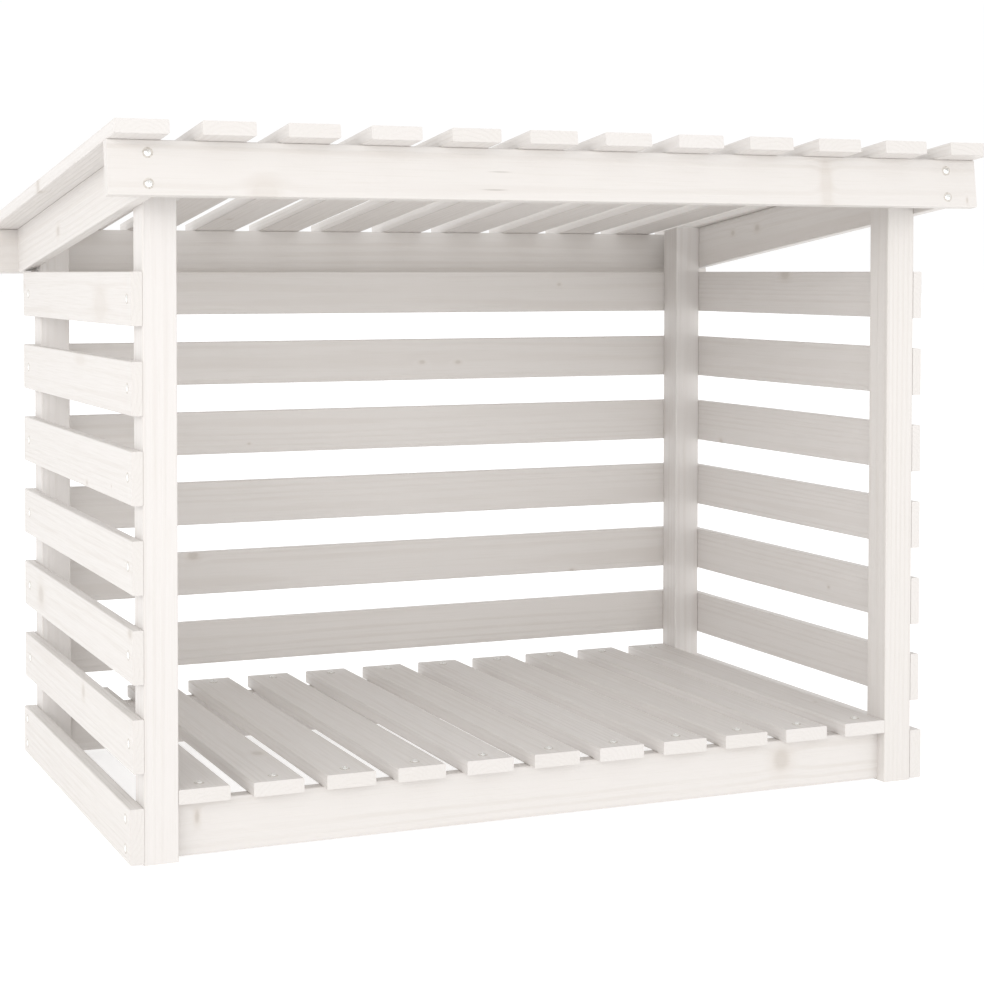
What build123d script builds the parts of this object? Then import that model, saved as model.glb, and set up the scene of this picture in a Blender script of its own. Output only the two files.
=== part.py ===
from build123d import *
import math
import os

# Log store: an open pine rack with slatted sides, back and floor under a lean-to slatted roof.
# The open front faces -Y, +X is to the right of it, and the posts stand on z = 0.

# Frame
frame_width = 980.0
frame_depth = 562.0
overall_height = 790.0
post_side = 38.0
edge_radius = 1.5

# Base boards and floor rails
base_width = 60.0
base_thickness = 16.0
ground_gap = 2.0
rail_recess = 15.0

# Floor slats
floor_slat_count = 11
floor_slat_width = 58.0
floor_slat_thickness = 16.0

# Side and back boards
board_rows = 6
board_width = 58.0
board_thickness = 12.0
rafter_clearance = 1.0

# Roof panel
roof_pitch = 7.0
rafter_width = 58.0
rafter_thickness = 15.0
rafter_reach = 35.5
fascia_width = 58.0
fascia_thickness = 15.0
fascia_end_reach = 50.0
roof_slat_count = 12
roof_slat_width = 58.0
roof_slat_thickness = 15.0
roof_slat_overhang = 33.0

# How far a cutting block runs past what it cuts
cut_overrun = 60.0

# Places worked out from the sizes above
half_width = frame_width / 2
half_depth = frame_depth / 2
inner_half_width = half_width - post_side
base_top = ground_gap + base_width
floor_top = base_top + floor_slat_thickness

# The roof panel is laid out flat and then tilted, so its lengths run along the slope
pitch_sine = math.sin(math.radians(roof_pitch))
pitch_cosine = math.cos(math.radians(roof_pitch))
rafter_length = (frame_depth + 2 * rafter_reach) / pitch_cosine
fascia_length = frame_width + 2 * fascia_end_reach
roof_slat_length = rafter_length + 2 * (fascia_thickness + roof_slat_overhang)
seat_height = overall_height - roof_slat_length / 2 * pitch_sine - roof_slat_thickness * pitch_cosine
seat_offset = -roof_slat_thickness * pitch_sine / 2
roof_seat = Location((0, seat_offset, seat_height), (-roof_pitch, 0, 0))

# The top boards stop just under the rafters, where these come lowest over the boards' rear ends
board_rear = half_depth + board_thickness
fall_to_rear = (board_rear - seat_offset) * pitch_sine / pitch_cosine
boards_top = seat_height - fall_to_rear - rafter_width / pitch_cosine - rafter_clearance
board_gap = (boards_top - base_top) / board_rows - board_width


def board(length_along, x_size, y_size, z_size):
    """A planed board centred on the origin, its four long edges eased, its ends sawn square."""
    if length_along == Axis.X:
        across = Plane.YZ * RectangleRounded(y_size, z_size, edge_radius)
        return extrude(across, x_size / 2, both=True)
    if length_along == Axis.Y:
        across = Plane.XZ * RectangleRounded(x_size, z_size, edge_radius)
        return extrude(across, y_size / 2, both=True)
    across = Plane.XY * RectangleRounded(x_size, y_size, edge_radius)
    return extrude(across, z_size / 2, both=True)


def spread(count, member_width, clear_width):
    """Centres of members set evenly across a width, the outer two flush with its ends."""
    spacing = (clear_width - member_width) / (count - 1)
    return [(index - (count - 1) / 2) * spacing for index in range(count)]


def post(side, end):
    """A square post whose top is sawn to the pitch, to carry the roof slats."""
    blank_height = overall_height + cut_overrun
    blank = board(Axis.Z, post_side, post_side, blank_height)
    x = side * (half_width - post_side / 2)
    y = end * (half_depth - post_side / 2)
    standing = Pos(x, y, blank_height / 2) * blank
    above_seat = Pos(0, 0, overall_height / 2) * Box(
        fascia_length + cut_overrun, roof_slat_length + cut_overrun, overall_height
    )
    return standing - roof_seat * above_seat


def base_board(side):
    """The thick lowest board of a side, along the outer faces of its two posts."""
    x = side * (half_width + base_thickness / 2)
    plank = board(Axis.Y, base_thickness, frame_depth, base_width)
    return Pos(x, 0, ground_gap + base_width / 2) * plank


def floor_rail(end):
    """A rail between two posts, set back from their outer faces, under the floor slats' ends."""
    y = end * (half_depth - rail_recess - base_thickness / 2)
    plank = board(Axis.X, 2 * inner_half_width, base_thickness, base_width)
    return Pos(0, y, ground_gap + base_width / 2) * plank


def floor_slats():
    """Slats from front to back on the two rails, the outer two against the posts."""
    slat = board(Axis.Y, floor_slat_width, frame_depth, floor_slat_thickness)
    z = base_top + floor_slat_thickness / 2
    places = spread(floor_slat_count, floor_slat_width, 2 * inner_half_width)
    return Compound(children=[Pos(x, 0, z) * slat for x in places])


def row_height(row):
    """Middle height of a row of side and back boards, row 1 being the top one."""
    return boards_top - board_width / 2 - (row - 1) * (board_width + board_gap)


def side_board(side, row):
    """A thin board on the outer faces of two posts, its rear end covering the back boards."""
    x = side * (half_width + board_thickness / 2)
    length = frame_depth + board_thickness
    plank = board(Axis.Y, board_thickness, length, board_width)
    return Pos(x, board_thickness / 2, row_height(row)) * plank


def back_board(row):
    """A thin board behind the rear posts, between the rear ends of the side boards."""
    plank = board(Axis.X, frame_width, board_thickness, board_width)
    return Pos(0, half_depth + board_thickness / 2, row_height(row)) * plank


def rafter(side):
    """A sloping bearer on the outer faces of two posts, its top flush with their sawn tops."""
    x = side * (half_width + rafter_thickness / 2)
    plank = board(Axis.Y, rafter_thickness, rafter_length, rafter_width)
    return roof_seat * Pos(x, 0, -rafter_width / 2) * plank


def fascia(end):
    """A board square to the slope across the ends of both rafters, and past them."""
    y = end * (rafter_length + fascia_thickness) / 2
    plank = board(Axis.X, fascia_length, fascia_thickness, fascia_width)
    return roof_seat * Pos(0, y, -fascia_width / 2) * plank


def roof_slat(x):
    """A slat down the slope, over both fascias and past them."""
    plank = board(Axis.Y, roof_slat_width, roof_slat_length, roof_slat_thickness)
    return roof_seat * Pos(x, 0, roof_slat_thickness / 2) * plank


# Pieces by name
sides = {"left": -1, "right": 1}
ends = {"front": -1, "rear": 1}
pieces = {}

for end_name, end in ends.items():
    pieces[f"{end_name}_rail"] = floor_rail(end)
    pieces[f"{end_name}_fascia"] = fascia(end)
    for side_name, side in sides.items():
        pieces[f"{end_name}_{side_name}_post"] = post(side, end)

for side_name, side in sides.items():
    pieces[f"{side_name}_base_board"] = base_board(side)
    pieces[f"{side_name}_rafter"] = rafter(side)
    for row in range(1, board_rows + 1):
        pieces[f"{side_name}_side_board_{row}"] = side_board(side, row)

for row in range(1, board_rows + 1):
    pieces[f"back_board_{row}"] = back_board(row)

pieces["floor_slats"] = floor_slats()

for number, x in enumerate(spread(roof_slat_count, roof_slat_width, fascia_length), start=1):
    pieces[f"roof_slat_{number}"] = roof_slat(x)

os.makedirs("parts", exist_ok=True)
for name, shape in pieces.items():
    export_step(shape, f"parts/{name}.step")

print(len(pieces), "nodes; gap between boards", round(board_gap, 2), "mm; boards' top", round(boards_top, 1))
print("roof slat length", round(roof_slat_length, 1), "mm; floor top", floor_top, "mm")
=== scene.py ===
# %% [markdown]
# # A white log store
# A log store is an open rack of planed pine: four posts, slatted sides, back and floor, and a lean-to
# roof of slats. Its boards come in as finished solids at their real size, so nothing is shaped again
# here. What a solid lacks is the finish: white paint with the grain of the pine showing through, the
# screws, soft light and a camera. The solids are loaded first and measured, so that every later place is
# taken from them.

# %% Load the solids
import math
import random

import bmesh
import bpy
from mathutils import Euler, Matrix, Vector


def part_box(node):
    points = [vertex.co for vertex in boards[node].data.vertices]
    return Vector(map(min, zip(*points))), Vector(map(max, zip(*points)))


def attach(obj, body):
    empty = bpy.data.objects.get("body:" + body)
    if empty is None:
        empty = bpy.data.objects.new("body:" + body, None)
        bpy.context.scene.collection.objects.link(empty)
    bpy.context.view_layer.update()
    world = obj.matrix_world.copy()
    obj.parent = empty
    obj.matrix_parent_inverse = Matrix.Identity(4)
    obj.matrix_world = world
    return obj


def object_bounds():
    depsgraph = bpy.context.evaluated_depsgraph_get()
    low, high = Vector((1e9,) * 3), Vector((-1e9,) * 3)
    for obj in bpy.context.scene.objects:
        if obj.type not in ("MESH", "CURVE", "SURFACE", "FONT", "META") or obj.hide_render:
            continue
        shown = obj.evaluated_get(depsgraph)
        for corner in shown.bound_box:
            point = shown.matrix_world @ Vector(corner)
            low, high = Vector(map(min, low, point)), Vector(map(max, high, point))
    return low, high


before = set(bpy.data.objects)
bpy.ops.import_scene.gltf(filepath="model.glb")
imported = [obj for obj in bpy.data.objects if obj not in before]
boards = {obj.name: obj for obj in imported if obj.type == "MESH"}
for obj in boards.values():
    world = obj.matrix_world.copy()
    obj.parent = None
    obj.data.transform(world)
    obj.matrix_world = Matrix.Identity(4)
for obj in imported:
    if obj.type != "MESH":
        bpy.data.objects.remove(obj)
cad_low, cad_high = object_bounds()
MM = 0.001
print(len(boards), "solids, size in mm:", [round(side / MM) for side in cad_high - cad_low])

# %% [markdown]
# ## Camera
# The photograph is taken from the left of the open front, level with the top row of boards, and its
# uprights stand upright in the picture. A view camera does that by sliding the picture on the sensor
# instead of tilting the lens, and Blender calls the slide a shift. A full shift would push the store out
# of the frame in views from other sides, so the shift is kept small and a tilt of under two degrees does
# the rest.

# %% Camera
CAMERA_PLACE_MM = (-1029.5, -2368.7, 633.9)
CAMERA_TURN_DEG = 22.136
CAMERA_TILT_DEG = 1.763
LENS_MM = 73.855
SENSOR_MM = 36
PICTURE_SHIFT = (0.08, -0.16)

camera = bpy.data.objects.new("camera", bpy.data.cameras.new("camera"))
camera.data.lens = LENS_MM
camera.data.sensor_width = SENSOR_MM
camera.data.shift_x, camera.data.shift_y = PICTURE_SHIFT
camera.location = Vector(CAMERA_PLACE_MM) * MM
camera.rotation_euler = (math.radians(90 - CAMERA_TILT_DEG), 0, math.radians(-CAMERA_TURN_DEG))
bpy.context.scene.collection.objects.link(camera)
bpy.context.scene.camera = camera
distance = (camera.location - (cad_low + cad_high) / 2).length
print("camera", round(distance, 2), "m from the middle of the store")

# %% [markdown]
# ## Nodes and colours
# A material is a small tree of nodes. One function adds a node, sets its options, fills its inputs with
# values or with links from other nodes, and hands back an output to link on. The rest of the lesson then
# says only what each tree needs. Colours are picked as the screen shows them, as hex values. Blender
# mixes light in linear values, so a second function turns one into the other.

# %% One function for nodes and one for colours
def add(tree, kind, inputs=(), output=0, **options):
    """Adds a node and returns one of its outputs. Inputs come as a list in the node's own order, or as a
    dict by name or number, and each is a value or another node's output."""
    node = tree.nodes.new("ShaderNode" + kind)
    for name, value in options.items():
        setattr(node, name, value)
    for name, value in (inputs if isinstance(inputs, dict) else dict(enumerate(inputs))).items():
        if isinstance(value, bpy.types.NodeSocket):
            tree.links.new(value, node.inputs[name])
        else:
            node.inputs[name].default_value = value
    return node.outputs[output]


def linear(hex_colour):
    """A colour picked on the screen, such as F0ECE7, as the linear values that a shader takes."""
    shares = [int(hex_colour[place:place + 2], 16) / 255 for place in (0, 2, 4)]
    return [s / 12.92 if s <= 0.04045 else ((s + 0.055) / 1.055) ** 2.4 for s in shares] + [1]


WHITE = linear("FFFFFF")
print("a mid grey, 808080, in linear values:", [round(share, 3) for share in linear("808080")[:3]])

# %% [markdown]
# ## Floor
# The store stands on a white studio sweep, a sheet of paper that runs on out of sight. A wide disc does
# the same. In a long exposure such a sheet burns out to white, and no lamp would light it evenly enough
# for that, so it also glows by itself, and takes only a faint shadow.

# %% Floor
FLOOR_RADIUS_M = 60
FLOOR_SIDES = 64
FLOOR_GLOW = 0.55
FLOOR_PAPER = "D8D8D8"

disc = bmesh.new()
bmesh.ops.create_circle(disc, cap_ends=True, segments=FLOOR_SIDES, radius=FLOOR_RADIUS_M)
floor = bpy.data.objects.new("floor", bpy.data.meshes.new("floor"))
disc.to_mesh(floor.data)
disc.free()
bpy.context.scene.collection.objects.link(floor)

paper = bpy.data.materials.new("white_studio_paper")
paper.use_nodes = True
paper_shader = paper.node_tree.nodes["Principled BSDF"]
paper_shader.inputs["Base Color"].default_value = linear(FLOOR_PAPER)
paper_shader.inputs["Roughness"].default_value = 1
paper_shader.inputs["Specular IOR Level"].default_value = 0
paper_shader.inputs["Emission Color"].default_value = WHITE
paper_shader.inputs["Emission Strength"].default_value = FLOOR_GLOW
floor.data.materials.append(paper)
print("floor", 2 * FLOOR_RADIUS_M, "m across")

# %% [markdown]
# ## Light
# In a white studio light comes from everywhere, and a bright white world gives that. A wide strip lamp at
# the front left lifts the outer faces over the ones inside. It is as wide as a wall, because a small one
# would throw the stripes of the roof slats on the fascia. A low lamp in front reaches in under the roof
# and puts a glint on the screws.

# %% World and lamps
WORLD_BRIGHTNESS = 1.01
LAMPS = {
    "front_left_strip": {"place": (-3.25, -2.55, 1.9), "size": (6.0, 1.2), "watts": 69},
    "low_front_lamp": {"place": (1.5, -3.2, 0.4), "size": (2.0, 0.8), "watts": 12},
}

world = bpy.data.worlds.new("white_studio")
world.use_nodes = True
world.node_tree.nodes["Background"].inputs["Color"].default_value = WHITE
world.node_tree.nodes["Background"].inputs["Strength"].default_value = WORLD_BRIGHTNESS
bpy.context.scene.world = world
bpy.context.scene.view_settings.view_transform = "Standard"

aim = (cad_low + cad_high) / 2
for name, values in LAMPS.items():
    lamp = bpy.data.objects.new(name, bpy.data.lights.new(name, "AREA"))
    lamp.data.shape = "RECTANGLE"
    lamp.data.size, lamp.data.size_y = values["size"]
    lamp.data.energy = values["watts"]
    lamp.location = values["place"]
    lamp.rotation_euler = (aim - lamp.location).to_track_quat("-Z", "Y").to_euler()
    bpy.context.scene.collection.objects.link(lamp)
    print(name, round((aim - lamp.location).length, 2), "m away")

# %% [markdown]
# ## Families of boards
# All boards are the same painted pine, but the grain runs along each board: upright in a post, across in
# a fascia, down the slope in a roof slat. A pattern is drawn once, with its X along the grain, its Y
# across the board and its Z through the thickness, and each family of boards turns it into place. The
# roof's slope is measured from the two fascias, which lie at the same height on the tilted panel.

# %% Slope and families
def middle(node):
    """Middle of a solid's box, which is the middle of the board itself, also of a tilted one."""
    low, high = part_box(node)
    return (low + high) / 2


panel_run = middle("rear_fascia") - middle("front_fascia")
ROOF_SLOPE_DEG = math.degrees(math.atan2(-panel_run.z, panel_run.y))

STANDING_ALONG_X = (-90, 0, 0)
STANDING_ALONG_Y = (-90, -90, 0)
families = {
    "posts": {"turn_deg": (0, 90, 0), "word": "post"},
    "floor_rails": {"turn_deg": STANDING_ALONG_X, "word": "rail"},
    "back_boards": {"turn_deg": STANDING_ALONG_X, "word": "back_board"},
    "base_boards": {"turn_deg": STANDING_ALONG_Y, "word": "base_board"},
    "side_boards": {"turn_deg": STANDING_ALONG_Y, "word": "side_board"},
    "floor_slats": {"turn_deg": (0, 0, -90), "word": "floor_slats"},
    "rafters": {"turn_deg": (-90 + ROOF_SLOPE_DEG, -90, 0), "word": "rafter"},
    "fascias": {"turn_deg": (-90 + ROOF_SLOPE_DEG, 0, 0), "word": "fascia"},
    "roof_slats": {"turn_deg": (ROOF_SLOPE_DEG, 0, -90), "word": "roof_slat"},
}
for family in families.values():
    family["turn"] = Euler([math.radians(angle) for angle in family["turn_deg"]])
    family["members"] = [name for name in boards if family["word"] in name]
print("roof slope", round(ROOF_SLOPE_DEG, 2), "degrees")
print({name: len(family["members"]) for name, family in families.items()})

# %% [markdown]
# ## One board at a time
# Real boards come from different trees, so neighbours must not share a pattern. A solid knows only where
# it is, and that is enough: boards of a family lie at even steps, so wrapping the coordinates to one step
# gives the place within a board, and snapping them to the step gives a number for the board. White noise
# turns that number into three random values, which are the same all over one board.

# %% Steps between boards
LONE_BOARD_M = 10
SAME_PLACE_M = 0.01
FLOOR_SLAT_COUNT = 11
FLOOR_SLAT_WIDTH_MM = 58

for family in families.values():
    turn = family["turn"].to_matrix()
    middles = [turn @ middle(board) for board in family["members"]]
    family["first"] = min(middles, key=lambda place: (place.y, place.z))
    family["steps"] = [LONE_BOARD_M]
    for axis in (1, 2):
        places = sorted(place[axis] for place in middles)
        gaps = [after - before for before, after in zip(places, places[1:])]
        steps = [gap for gap in gaps if gap > SAME_PLACE_M]
        family["steps"].append(min(steps, default=LONE_BOARD_M))

slats_low, slats_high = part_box("floor_slats")
slat_step = (slats_high.x - slats_low.x - FLOOR_SLAT_WIDTH_MM * MM) / (FLOOR_SLAT_COUNT - 1)
families["floor_slats"]["steps"][1] = slat_step
for name, family in families.items():
    print(name, "steps in mm:", [round(step / MM, 1) for step in family["steps"][1:]])


# %% Place within a board, and a draw for the board
def board_space(tree, family):
    """Place in the family's turned space, place within a board, and three random values for the board."""
    half = [step / 2 for step in family["steps"]]
    low_half = [-step for step in half]
    place = add(tree, "TexCoord", output="Object")
    turning = {"Vector": place, "Rotation": family["turn"], "Location": -family["first"]}
    turned = add(tree, "Mapping", turning)
    within = add(tree, "VectorMath", [turned, half, low_half], operation="WRAP")
    shifted = add(tree, "VectorMath", [turned, half], operation="ADD")
    number = add(tree, "VectorMath", [shifted, family["steps"]], operation="SNAP")
    draw = add(tree, "TexWhiteNoise", {"Vector": number}, "Color", noise_dimensions="3D")
    return turned, within, draw


first_post = families["posts"]["first"]
print("the first post, in its turned space, lies at mm:", [round(side / MM) for side in first_post])

# %% [markdown]
# ## Knots and cracks
# A knot is the root of a branch that the saw went through: a darker oval that white paint never quite
# hides, with the grain flowing round it. Some of them, and two drying cracks in the front fascia, show in
# the photograph, so they are put where it shows them: each is an oval with a place on the store, a half
# length along and across the grain, and how near its heart the distance may come, which keeps a faint one
# pale.

# %% Knots and cracks that show
DARK, PALE, FAINT = 0.0, 0.5, 1.0
KNOTS_MM = {
    "fascias": [
        ((-372, -338.7, 718), (13, 11), FAINT),
        ((325, -336.5, 737), (6, 30), FAINT),
        ((526, -338.3, 722), (1.6, 4), DARK),
    ],
    "floor_rails": [((-427.6, -266, 43), (3, 8), DARK), ((312, -266, 38), (13, 15), PALE)],
    "rafters": [
        ((-505, 64, 684), (9, 7), DARK),
        ((490, 148, 690.5), (5, 4), PALE),
        ((490, 83, 696.5), (7, 5), DARK),
    ],
    "roof_slats": [((-540, 11, 728), (9, 8), PALE)],
    "side_boards": [
        ((-502, -140, 597), (24, 15), FAINT),
        ((-502, -38, 532), (20, 5), FAINT),
        ((-502, -71, 391), (5, 3), PALE),
        ((-502, 191, 222), (18, 13), DARK),
        ((-502, -47, 144), (8, 9), PALE),
        ((490, 10.5, 631), (12, 8), PALE),
    ],
    "back_boards": [((62, 281, 506.7), (5, 3), PALE), ((117.5, 281, 505.8), (5, 3), PALE)],
}
CRACKS_MM = {
    "fascias": [((-97, -335.5, 744.8), (19, 0.9), DARK), ((-105, -338, 724.7), (20, 1.0), DARK)],
}
THROUGH_MM = 40
FAR_AWAY = 100.0


def oval_distance(tree, family, turned, ovals):
    """Distance to the nearest of a list of ovals, in radii of that oval."""
    nearest = FAR_AWAY
    for place, (along, across), closest in ovals:
        heart = family["turn"].to_matrix() @ (Vector(place) * MM) - family["first"]
        radii = [along * MM, across * MM, THROUGH_MM * MM]
        away = add(tree, "VectorMath", [turned, heart], operation="SUBTRACT")
        share = add(tree, "VectorMath", [away, radii], operation="DIVIDE")
        distance = add(tree, "VectorMath", [share], "Value", operation="LENGTH")
        kept = add(tree, "Math", [distance, closest], operation="MAXIMUM")
        nearest = add(tree, "Math", [kept, nearest], operation="MINIMUM")
    return nearest


knot_count = sum(len(ovals) for ovals in KNOTS_MM.values())
print(knot_count, "knots and", len(CRACKS_MM["fascias"]), "cracks placed")

# %% [markdown]
# The photograph doesn't show every board, so the rest of the knots are scattered. A Voronoi texture does
# it: its cells are wide, and the random colour of each cell gives its knot a size, so that most boards
# have none or a small, pale one. The knots are drawn straight through the board, so they would run out
# over its sides as stripes. They are left out there later, by looking at which way the face points.

# %% Knots scattered over the rest
KNOT_SPACING_MM = 250
KNOT_RADIUS_MM = 8
KNOT_STRETCH = 1.4
SCATTER_M = 40


def scattered_knot_distance(tree, within, draw):
    """Distance to the nearest scattered knot, in radii of that knot."""
    apart = add(tree, "VectorMath", {0: draw, "Scale": SCATTER_M}, operation="SCALE")
    oval = [1 / KNOT_STRETCH, 1, 0]
    spread = add(tree, "VectorMath", [within, oval, apart], operation="MULTIPLY_ADD")
    cells = {"Vector": spread, "Scale": 1 / (KNOT_SPACING_MM * MM)}
    distance = add(tree, "TexVoronoi", cells, "Distance", voronoi_dimensions="2D")
    size = add(tree, "SeparateColor", [distance.node.outputs["Color"]], "Red")
    radius = add(tree, "Math", [size, KNOT_RADIUS_MM / KNOT_SPACING_MM], operation="MULTIPLY")
    in_radii = add(tree, "Math", [distance, radius], operation="DIVIDE")
    return add(tree, "Math", [in_radii, PALE], operation="MAXIMUM")


print("a scattered knot in every", KNOT_SPACING_MM, "mm, up to", 2 * KNOT_RADIUS_MM, "mm across")


# %% [markdown]
# ## Growth rings
# A tree adds a ring a year, pale in spring and dark in late summer, and a board is a slice through those
# tubes. A Wave texture in ring mode draws the tubes round an axis beside the board, and the random values
# put that axis at another place for each board. Coordinates squeezed along the grain stretch the waviness
# of the rings, and a soft profile suits rings that are seen through paint. The sawn ends show arcs of the
# same rings, because the pattern is solid. Pine rings are 2 to 4 mm apart, and are drawn at 5 mm here,
# because finer ones vanish at the size of the picture.

# %% Growth rings
RING_SPACING_MM = 5
RING_WAVER = 6.0
WAVER_DETAIL = 2.5
WAVER_SCALE = 0.45
WAVER_ROUGHNESS = 0.55
GRAIN_STRETCH = 22
PITH_ASIDE_M = 0.03
PITH_NEAR_M = 0.012
PITH_FAR_M = 0.06
BEND_REACH = (0, 4)
BEND_BY_KNOT = (2.5, 0)
WAVE_LENGTH_AT_SCALE_1 = 2 * math.pi / 20
RING_SCALE = WAVE_LENGTH_AT_SCALE_1 / (RING_SPACING_MM * MM)
SMOOTH = {"interpolation_type": "SMOOTHSTEP"}


def growth_rings(tree, within, draw, knot):
    """Wave of the growth rings, rising from 0 in spring wood to 1 in late wood."""
    spread = [SCATTER_M, 2 * PITH_ASIDE_M, PITH_FAR_M - PITH_NEAR_M]
    start = [0, -PITH_ASIDE_M, PITH_NEAR_M]
    pith = add(tree, "VectorMath", [draw, spread, start], operation="MULTIPLY_ADD")
    squeeze = [1 / GRAIN_STRETCH, 1, 1]
    wave = {
        "Vector": add(tree, "VectorMath", [within, squeeze, pith], operation="MULTIPLY_ADD"),
        "Scale": RING_SCALE,
        "Distortion": RING_WAVER,
        "Detail": WAVER_DETAIL,
        "Detail Scale": WAVER_SCALE,
        "Detail Roughness": WAVER_ROUGHNESS,
        "Phase Offset": add(tree, "MapRange", [knot, *BEND_REACH, *BEND_BY_KNOT], **SMOOTH),
    }
    return add(tree, "TexWave", wave, "Fac", wave_type="RINGS", rings_direction="X", wave_profile="SIN")


print("rings drawn every", RING_SPACING_MM, "mm, at a wave texture scale of", round(RING_SCALE, 1))

# %% [markdown]
# ## Fibre and faces
# Two more things steer the paint. Fine fibre and broad cloudy patches run along the grain, and noise
# gives both, stretched to a length and a width in millimetres. Then the faces differ: a sawn end drinks
# paint, an edge sheds it, and only a broad face shows a scattered knot. The normal of a face tells which
# it is, once it is turned into the board's own directions.

# %% Streaks along the grain
# Real fibre is finer than a tenth of a millimetre, and is drawn coarser here so that it shows
FIBRE_MM = (70, 1.6)
CLOUD_MM = (220, 45)
STREAK_DETAIL = 3


def streaks(tree, within, draw, size_mm):
    """Noise whose streaks have a given length along the grain and width across it."""
    length, width = [1 / (side * MM) for side in size_mm]
    apart = add(tree, "VectorMath", {0: draw, "Scale": SCATTER_M}, operation="SCALE")
    place = add(tree, "VectorMath", [within, [length, width, width], apart], operation="MULTIPLY_ADD")
    return add(tree, "TexNoise", {"Vector": place, "Scale": 1, "Detail": STREAK_DETAIL}, "Fac")


print("fibre and cloud, length and width in mm:", FIBRE_MM, CLOUD_MM)

# %% Which way a face looks
SAWN_END_FROM = (0.7, 0.9)
EDGE_FROM = (0.98, 0.75)
BROAD_FACE_FROM = (0.6, 0.9)


def facing(tree, family):
    """How far a face is a sawn end, an eased edge and a broad face of its board, each from 0 to 1."""
    normal = add(tree, "NewGeometry", output="Normal")
    turned = add(tree, "Mapping", {"Vector": normal, "Rotation": family["turn"]}, vector_type="NORMAL")
    plain = add(tree, "VectorMath", [turned], operation="ABSOLUTE")
    along, across, through = add(tree, "SeparateXYZ", [plain]).node.outputs
    larger = add(tree, "Math", [along, across], operation="MAXIMUM")
    largest = add(tree, "Math", [larger, through], operation="MAXIMUM")
    sawn = add(tree, "MapRange", [along, *SAWN_END_FROM, 0, 1], **SMOOTH)
    edge = add(tree, "MapRange", [largest, *EDGE_FROM, 0, 1], **SMOOTH)
    broad = add(tree, "MapRange", [through, *BROAD_FACE_FROM, 0, 1], **SMOOTH)
    return sawn, edge, broad


edge_turn = math.degrees(math.acos(EDGE_FROM[0]))
print("a face counts as an edge when it is turned over", round(edge_turn), "degrees")

# %% [markdown]
# ## White paint over pine
# The boards were planed, sawn to length and sprayed with thin white paint. The eye sees a warm white with
# a soft sheen, faint lines of late wood, fine fibre, grey-brown knots, ends that drank the paint and
# edges where it is thinner. A picture of such a board would fit one board only, so each effect is a tint
# instead: a colour, and a share that says where it lies and how strongly. The tints go over the white one
# after another, as coats do.

# %% Tints of the grain
LATE_WOOD = "BCB3AB"
LATE_WOOD_SHARE = (0.05, 0.24)
LATE_WOOD_IN_CLOUD = (0.3, 0.75)
LATE_WOOD_ON_ENDS = (1, 0.35)
THIN_PAINT = "C9C4BD"
THIN_PAINT_SHARE = (0, 0.35)
THIN_PAINT_ON_FIBRE = (0.5, 0.8)
THIN_COAT_SHARE = (0, 0.22)


def grain_tints(tree, draw, late, fibre, cloud, sawn):
    """Lines of late wood, fainter on sawn ends, thin paint on fibre, and a thinner coat on some boards."""
    patchy = add(tree, "MapRange", [cloud, *LATE_WOOD_IN_CLOUD, *LATE_WOOD_SHARE], **SMOOTH)
    lines = add(tree, "Math", [late, patchy], operation="MULTIPLY")
    on_ends = add(tree, "MapRange", [sawn, 0, 1, *LATE_WOOD_ON_ENDS], **SMOOTH)
    fainter = add(tree, "Math", [lines, on_ends], operation="MULTIPLY")
    thin = add(tree, "MapRange", [fibre, *THIN_PAINT_ON_FIBRE, *THIN_PAINT_SHARE], **SMOOTH)
    board = add(tree, "SeparateColor", [draw], "Blue")
    coat = add(tree, "MapRange", [board, 0, 1, *THIN_COAT_SHARE])
    return [(LATE_WOOD, fainter), (THIN_PAINT, thin), (THIN_PAINT, coat)]


print("late wood", LATE_WOOD, "up to a share of", LATE_WOOD_SHARE[1])
print("thin paint", THIN_PAINT, "up to a share of", THIN_PAINT_SHARE[1])

# %% Tints of knots and cracks
KNOT_STAIN = "C3BAB1"
STAIN_SHARE = (0, 0.3)
STAIN_RADII = (2.6, 0.9)
KNOT_HEART = "9A9084"
HEART_SHARE = (0, 0.32)
HEART_RADII = (1.5, 0.6)
KNOT_FRAY = 0.6
PLACED_KNOT_RADII = (3.2, 2.8)
CRACK = "867D74"
CRACK_SHARE = (0, 0.5)
CRACK_RADII = (1.7, 0.8)
CRACK_FRAY = 1.2


def knot_tints(tree, knot, placed, fibre, broad):
    """A stain and a darker heart, frayed along the fibre. Placed knots show on any face of a board."""
    frayed = add(tree, "Math", [fibre, KNOT_FRAY, knot], operation="MULTIPLY_ADD")
    near_placed = add(tree, "MapRange", [placed, *PLACED_KNOT_RADII, 0, 1], **SMOOTH)
    shown = add(tree, "Math", [near_placed, broad], operation="MAXIMUM")
    stain = add(tree, "MapRange", [frayed, *STAIN_RADII, *STAIN_SHARE], **SMOOTH)
    heart = add(tree, "MapRange", [frayed, *HEART_RADII, *HEART_SHARE], **SMOOTH)
    stain_shown = add(tree, "Math", [stain, shown], operation="MULTIPLY")
    heart_shown = add(tree, "Math", [heart, shown], operation="MULTIPLY")
    return [(KNOT_STAIN, stain_shown), (KNOT_HEART, heart_shown)]


def crack_tints(tree, family, turned, cracks, fibre):
    """A dark line for drying cracks, frayed along the fibre, and nothing for boards without any."""
    if not cracks:
        return []
    crack = oval_distance(tree, family, turned, cracks)
    frayed = add(tree, "Math", [fibre, CRACK_FRAY, crack], operation="MULTIPLY_ADD")
    return [(CRACK, add(tree, "MapRange", [frayed, *CRACK_RADII, *CRACK_SHARE], **SMOOTH))]


print("knots", KNOT_STAIN, "with a heart of", KNOT_HEART, "and cracks", CRACK)

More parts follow.
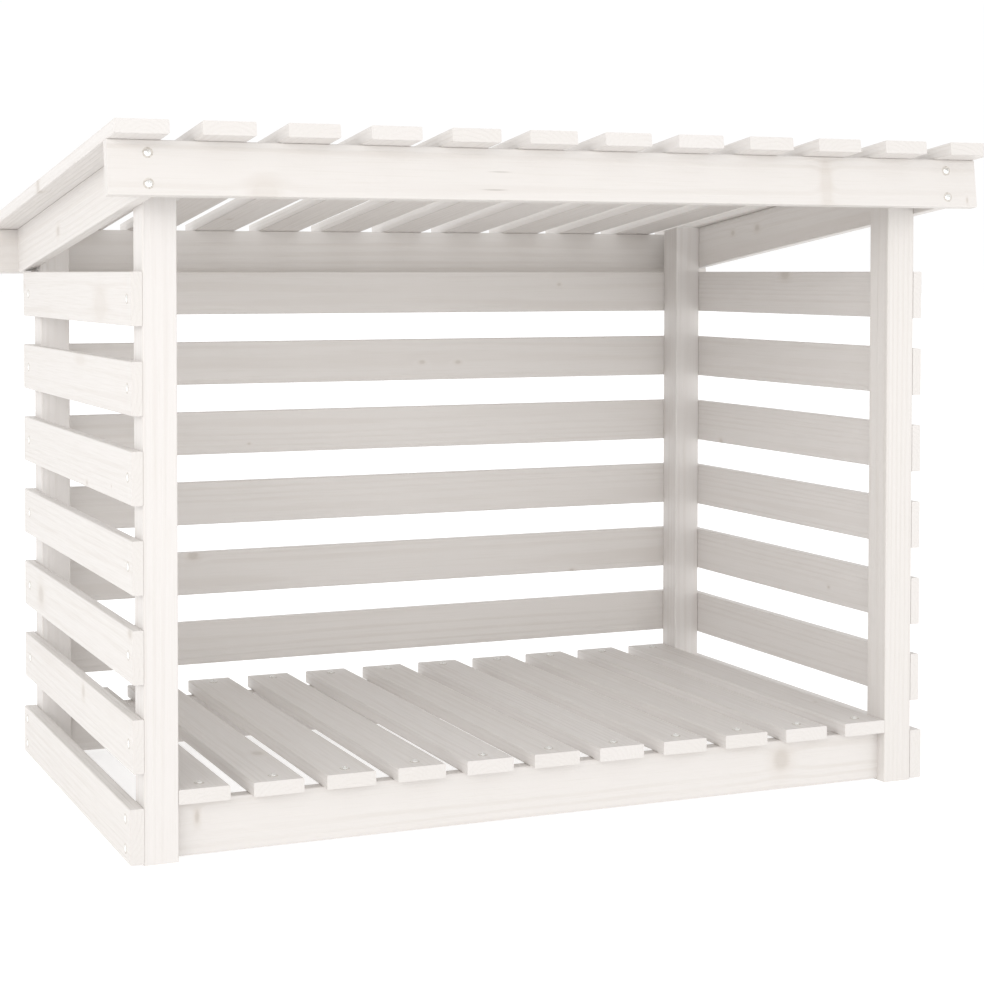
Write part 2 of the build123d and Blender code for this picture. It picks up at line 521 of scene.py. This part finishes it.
# %% Tints of sawn ends and worn edges
SAWN_END = "C5C0BA"
SAWN_END_SHARE = (0, 0.06)
WORN_SHARE = (0.1, 0.5)
WORN_ON_FIBRE = (0.35, 0.7)


def wear_tints(tree, sawn, edge, fibre):
    """Ends that drank the paint, and edges where handling has thinned it along the fibre."""
    drunk = add(tree, "MapRange", [sawn, 0, 1, *SAWN_END_SHARE], **SMOOTH)
    rubbed = add(tree, "MapRange", [fibre, *WORN_ON_FIBRE, *WORN_SHARE], **SMOOTH)
    worn = add(tree, "Math", [edge, rubbed], operation="MULTIPLY")
    return [(SAWN_END, drunk), (THIN_PAINT, worn)]


print("sawn ends", SAWN_END, "and worn edges", THIN_PAINT)

# %% [markdown]
# ## Coats of paint
# Now the tints go over the white, and the same grain that tints the paint also lifts it by a fraction of
# a millimetre and dulls it, because a thin coat follows the wood under it. Dried wall or furniture paint
# has an index of refraction near 1.48. Each family gets a material of its own, since the turn of its
# grain is in it.

# %% Painted pine
PAINT_WHITE = "D5D1CE"
PAINT_IOR = 1.48
GLOSS_ON_FIBRE = (0.3, 0.7)
PAINT_ROUGHNESS = (0.42, 0.6)
LATE_WOOD_WAVE = (0.45, 1)
RELIEF_MM = 0.15
# A Mix node has sockets of one name for numbers, vectors and colours, so those for colours go by number
MIX_A, MIX_B, MIX_COLOUR = 6, 7, 2


def painted_pine(name):
    """White paint on the pine of one family of boards."""
    family = families[name]
    material = bpy.data.materials.new(f"painted_pine_{name}")
    material.use_nodes = True
    tree = material.node_tree
    surface = tree.nodes["Principled BSDF"].inputs

    turned, within, draw = board_space(tree, family)
    placed = oval_distance(tree, family, turned, KNOTS_MM.get(name, []))
    scattered = scattered_knot_distance(tree, within, draw)
    knot = add(tree, "Math", [scattered, placed], operation="MINIMUM")
    rings = growth_rings(tree, within, draw, knot)
    late = add(tree, "MapRange", [rings, *LATE_WOOD_WAVE, 0, 1], **SMOOTH)
    fibre = streaks(tree, within, draw, FIBRE_MM)
    cloud = streaks(tree, within, draw, CLOUD_MM)
    sawn, edge, broad = facing(tree, family)

    tints = grain_tints(tree, draw, late, fibre, cloud, sawn)
    tints += knot_tints(tree, knot, placed, fibre, broad)
    tints += crack_tints(tree, family, turned, CRACKS_MM.get(name, []), fibre)
    tints += wear_tints(tree, sawn, edge, fibre)
    paint = linear(PAINT_WHITE)
    for tint, share in tints:
        coats = {"Factor": share, MIX_A: paint, MIX_B: linear(tint)}
        paint = add(tree, "Mix", coats, MIX_COLOUR, data_type="RGBA")
    tree.links.new(paint, surface["Base Color"])

    dulled = add(tree, "MapRange", [fibre, *GLOSS_ON_FIBRE, *PAINT_ROUGHNESS], **SMOOTH)
    tree.links.new(dulled, surface["Roughness"])
    surface["IOR"].default_value = PAINT_IOR
    relief = add(tree, "Math", [late, fibre], operation="ADD")
    lifted = add(tree, "Bump", {"Height": relief, "Distance": RELIEF_MM * MM}, "Normal")
    tree.links.new(lifted, surface["Normal"])
    return material


# %% Paint every family of boards
for name, family in families.items():
    pine = painted_pine(name)
    for board in family["members"]:
        boards[board].material_slots[0].material = pine
    print(pine.name, "on", len(family["members"]), "solids,", len(pine.node_tree.nodes), "nodes")

# %% [markdown]
# ## Screws
# The boards are held by zinc-plated screws with raised countersunk heads, driven after painting. A head
# is turned on a lathe and its cross is punched in, so the mesh is made the same way: a short profile is
# spun round the axis, and the faces of a cross are pushed down. The head bruises the paint as it is
# driven home, which leaves a low ring round it, spun from a profile of its own. The ring is painted grey,
# partly for the bruised paint and partly as painted shade round the rim of the head. One head and one
# ring are modelled and then repeated.

# %% Turning a profile
TURNED_SIDES = 16
WELD_MM = 0.01


def turned_on_axis(profile_mm):
    """A closed shape turned on the Z axis, from (radius, height) points that start and end at the same
    place or on the axis."""
    shape = bmesh.new()
    points = [shape.verts.new(Vector((radius, 0, height)) * MM) for radius, height in profile_mm]
    runs = [shape.edges.new(ends) for ends in zip(points, points[1:])]
    bmesh.ops.spin(
        shape, geom=points + runs, cent=(0, 0, 0), axis=(0, 0, 1), dvec=(0, 0, 0),
        angle=2 * math.pi, steps=TURNED_SIDES, use_merge=True,
    )
    bmesh.ops.remove_doubles(shape, verts=shape.verts, dist=WELD_MM * MM)
    bmesh.ops.recalc_face_normals(shape, faces=shape.faces)
    return shape


def kept_mesh(shape, name):
    """The bmesh written to a mesh of that name."""
    mesh = bpy.data.meshes.new(name)
    shape.to_mesh(mesh)
    shape.free()
    return mesh


print("a profile is turned in", TURNED_SIDES, "steps")

# %% One screw head
HEAD_RADIUS_MM = 4.0
HEAD_RISE_MM = 2.4
HEAD_ROUNDING = 0.93
HEAD_SEAT_MM = 0.4
HEAD_SHOULDERS_MM = (3.0, 3.68)
CROSS_REACH_MM = 1.9
CROSS_HEART_MM = 0.8
CROSS_DEPTH_MM = 1.2
CROSS_TAPER = 0.7
ARMS = 4


def dome_height(radius_mm):
    """Height of the domed head over the board, at a distance from its axis."""
    return HEAD_RISE_MM * math.sqrt(1 - HEAD_ROUNDING * (radius_mm / HEAD_RADIUS_MM) ** 2)


def in_cross(place):
    """Whether a face of the dome lies in the cross: at its heart, or in one of its arms."""
    radius = math.hypot(place.x, place.y) / MM
    if place.z < 0 or radius > CROSS_REACH_MM:
        return False
    sector = math.floor(math.atan2(place.y, place.x) / (2 * math.pi) * TURNED_SIDES)
    return radius < CROSS_HEART_MM or sector % (TURNED_SIDES // ARMS) == 0


dome_radii = [0, CROSS_HEART_MM, CROSS_REACH_MM, *HEAD_SHOULDERS_MM, HEAD_RADIUS_MM]
head_profile = [(radius, dome_height(radius)) for radius in dome_radii]
head = turned_on_axis(head_profile + [(HEAD_RADIUS_MM, -HEAD_SEAT_MM), (0, -HEAD_SEAT_MM)])
cross = [face for face in head.faces if in_cross(face.calc_center_median())]
pushed = bmesh.ops.extrude_face_region(head, geom=cross)["geom"]
bmesh.ops.delete(head, geom=cross, context="FACES_ONLY")
cross_floor = [part for part in pushed if isinstance(part, bmesh.types.BMVert)]
bmesh.ops.translate(head, verts=cross_floor, vec=(0, 0, -CROSS_DEPTH_MM * MM))
bmesh.ops.scale(head, verts=cross_floor, vec=(CROSS_TAPER, CROSS_TAPER, 1))
bmesh.ops.recalc_face_normals(head, faces=head.faces)
head_mesh = kept_mesh(head, "screw_head")
print("screw head:", len(head_mesh.polygons), "faces")

# %% One ring of bruised paint and painted shade
RING_INNER_MM = 3.9
RING_LIP_MM = 0.05
RING_CREST_MM = (4.7, 0.12)
RING_OUTER_MM = 6.0
RING_SEAT_MM = 0.2

# The ring carries a grey that is partly bruised paint and partly painted shade round the head
ring_start = (RING_INNER_MM, -RING_SEAT_MM)
ring_top = [(RING_INNER_MM, RING_LIP_MM), RING_CREST_MM, (RING_OUTER_MM, 0)]
ring = turned_on_axis([ring_start, *ring_top, (RING_OUTER_MM, -RING_SEAT_MM), ring_start])
ring_mesh = kept_mesh(ring, "bruise_and_shade_ring")
print("ring:", len(ring_mesh.polygons), "faces")

# %% [markdown]
# ## Zinc plate, and bruised paint with painted shade
# The screws are steel with a bright zinc plate, tumbled and a little cloudy. It is a metal, so its colour
# is in its reflection, and its gloss wanders from spot to spot. The rings are the same white paint,
# cracked off the wood and greyed by the zinc that rubbed into it, and greyed further as painted shade
# round the rim of the head, so they are matt and blotchy. Both are
# drawn from noise about a quarter of a head across.

# %% Zinc-plated steel, and bruised paint with painted shade
BLOTCH_MM = 2
BLOTCH_EDGE = (0.4, 0.65)
ZINC = {"colour": "F8F8F6", "darker": "E8E9E7", "roughness": (0.22, 0.38)}
# The rings' grey is partly bruised paint and partly painted shade round the rim of each head
BRUISE_AND_SHADE = {"colour": "CAC5BE", "darker": "B7B1A9", "roughness": (0.6, 0.85)}


def blotched(name, colour, darker, roughness):
    """A material whose colour and roughness wander between two values, in blotches."""
    material = bpy.data.materials.new(name)
    material.use_nodes = True
    tree = material.node_tree
    surface = tree.nodes["Principled BSDF"].inputs
    place = add(tree, "TexCoord", output="Object")
    noise = add(tree, "TexNoise", {"Vector": place, "Scale": 1 / (BLOTCH_MM * MM)}, "Fac")
    blotch = add(tree, "MapRange", [noise, *BLOTCH_EDGE, 0, 1], **SMOOTH)
    shades = {"Factor": blotch, MIX_A: linear(colour), MIX_B: linear(darker)}
    tree.links.new(add(tree, "Mix", shades, MIX_COLOUR, data_type="RGBA"), surface["Base Color"])
    tree.links.new(add(tree, "MapRange", [blotch, 0, 1, *roughness]), surface["Roughness"])
    return material


zinc = blotched("zinc_plated_steel", **ZINC)
zinc.node_tree.nodes["Principled BSDF"].inputs["Metallic"].default_value = 1
# The rings' material paints the shade round each head into their grey, along with the bruise
bruise_and_shade = blotched("bruised_paint_and_painted_shade", **BRUISE_AND_SHADE)
print("materials", zinc.name, bruise_and_shade.name)

# %% [markdown]
# ## Driving the screws
# A screw goes where two boards cross. Each is driven from outside along a ray towards the board, and its
# head sits where the ray meets the solid, square to that face, so the heads on the tilted roof need no
# sums. Each head stops at a turn of its own, drawn from a seeded generator so that every run gives the
# same store.

# %% Drive screws into boards
DRIVE_FROM_M = 0.2
TURN_SEED = 7
turns = random.Random(TURN_SEED)


def lay(shape, mesh, matrix):
    """Adds a copy of a mesh to a bmesh, at a place."""
    start = len(shape.verts)
    shape.from_mesh(mesh)
    shape.verts.ensure_lookup_table()
    bmesh.ops.transform(shape, matrix=matrix, verts=shape.verts[start:])


def fix(piece_name, shape, material):
    """A finished piece of the store, fixed to its one body."""
    piece = bpy.data.objects.new(piece_name, kept_mesh(shape, piece_name))
    piece.data.materials.append(material)
    bpy.context.scene.collection.objects.link(piece)
    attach(piece, "root")


def drive(name, screws, stands_out):
    """Heads and rings for a set of screws: the board's name, the place aimed at and the way it is driven.
    The heads stand out by a share of their full height."""
    driven = Matrix.Scale(stands_out, 4, (0, 0, 1))
    heads = bmesh.new()
    rings = bmesh.new()
    for board, place, way in screws:
        way = Vector(way)
        hit, spot, normal, _ = boards[board].ray_cast(Vector(place) - way * DRIVE_FROM_M, way)
        if not hit:
            raise ValueError(f"a screw misses {board}")
        seat = Matrix.Translation(spot) @ normal.to_track_quat("Z", "Y").to_matrix().to_4x4()
        lay(heads, head_mesh, seat @ driven @ Matrix.Rotation(turns.uniform(0, math.pi / 2), 4, "Z"))
        lay(rings, ring_mesh, seat)
    fix(f"{name}_screws", heads, zinc)
    fix(f"{name}_screw_rings", rings, bruise_and_shade)
    print(name, len(screws), "screws")


print("screws are aimed from", DRIVE_FROM_M, "m away, with a seed of", TURN_SEED)

# %% [markdown]
# ## Where the screws go
# The fascias are screwed to the ends of the rafters, all the boards of the walls to the posts, roof slats
# to the fascias and floor slats to the rails. Fascias and base boards have two screws at a crossing, one
# above the other, because they are thick and carry a load. The thin boards and the slats have one. The
# heads in the walls are driven nearly flush, and hardly show in the photograph. The rafters show no
# heads, because they are fixed from the inside. A loop over the boards finds each crossing from the boxes
# of the two solids.

# %% Screws of the fascias
PAIR_RISE_MM = 16
PROUD = 1.0
pair = [Vector((0, 0, rise * MM)) for rise in (-PAIR_RISE_MM, PAIR_RISE_MM)]
sides = {"left": -1, "right": 1}
ends = {"front": -1, "rear": 1}

fascia_screws = []
for end, way in ends.items():
    for side in sides:
        crossing = middle(f"{end}_fascia")
        crossing.x = middle(f"{side}_rafter").x
        fascia_screws += [(f"{end}_fascia", crossing + rise, (0, -way, 0)) for rise in pair]
drive("fascia", fascia_screws, PROUD)

# %% Screws of the walls
NEARLY_FLUSH = 0.3

base_screws = []
for side, way in sides.items():
    for end in ends:
        crossing = middle(f"{side}_base_board")
        crossing.y = middle(f"{end}_{side}_post").y
        base_screws += [(f"{side}_base_board", crossing + rise, (-way, 0, 0)) for rise in pair]
drive("base", base_screws, NEARLY_FLUSH)

back_screws = []
for board in families["back_boards"]["members"]:
    for side in sides:
        crossing = middle(board)
        crossing.x = middle(f"rear_{side}_post").x
        back_screws.append((board, crossing, (0, -1, 0)))
drive("back", back_screws, NEARLY_FLUSH)

side_screws = []
for board in families["side_boards"]["members"]:
    side = board.split("_")[0]
    for end in ends:
        crossing = middle(board)
        crossing.y = middle(f"{end}_{side}_post").y
        side_screws.append((board, crossing, (-sides[side], 0, 0)))
drive("side", side_screws, NEARLY_FLUSH)

# %% Screws of the roof and the floor
roof_screws = []
for slat in families["roof_slats"]["members"]:
    for end in ends:
        crossing = middle(f"{end}_fascia")
        crossing.x = middle(slat).x
        roof_screws.append((slat, crossing, (0, 0, -1)))
drive("roof", roof_screws, PROUD)

floor_screws = []
for count in range(FLOOR_SLAT_COUNT):
    for end in ends:
        crossing = middle("floor_slats")
        crossing.x = (count - (FLOOR_SLAT_COUNT - 1) / 2) * slat_step
        crossing.y = middle(f"{end}_rail").y
        floor_screws.append(("floor_slats", crossing, (0, 0, -1)))
drive("floor", floor_screws, PROUD)
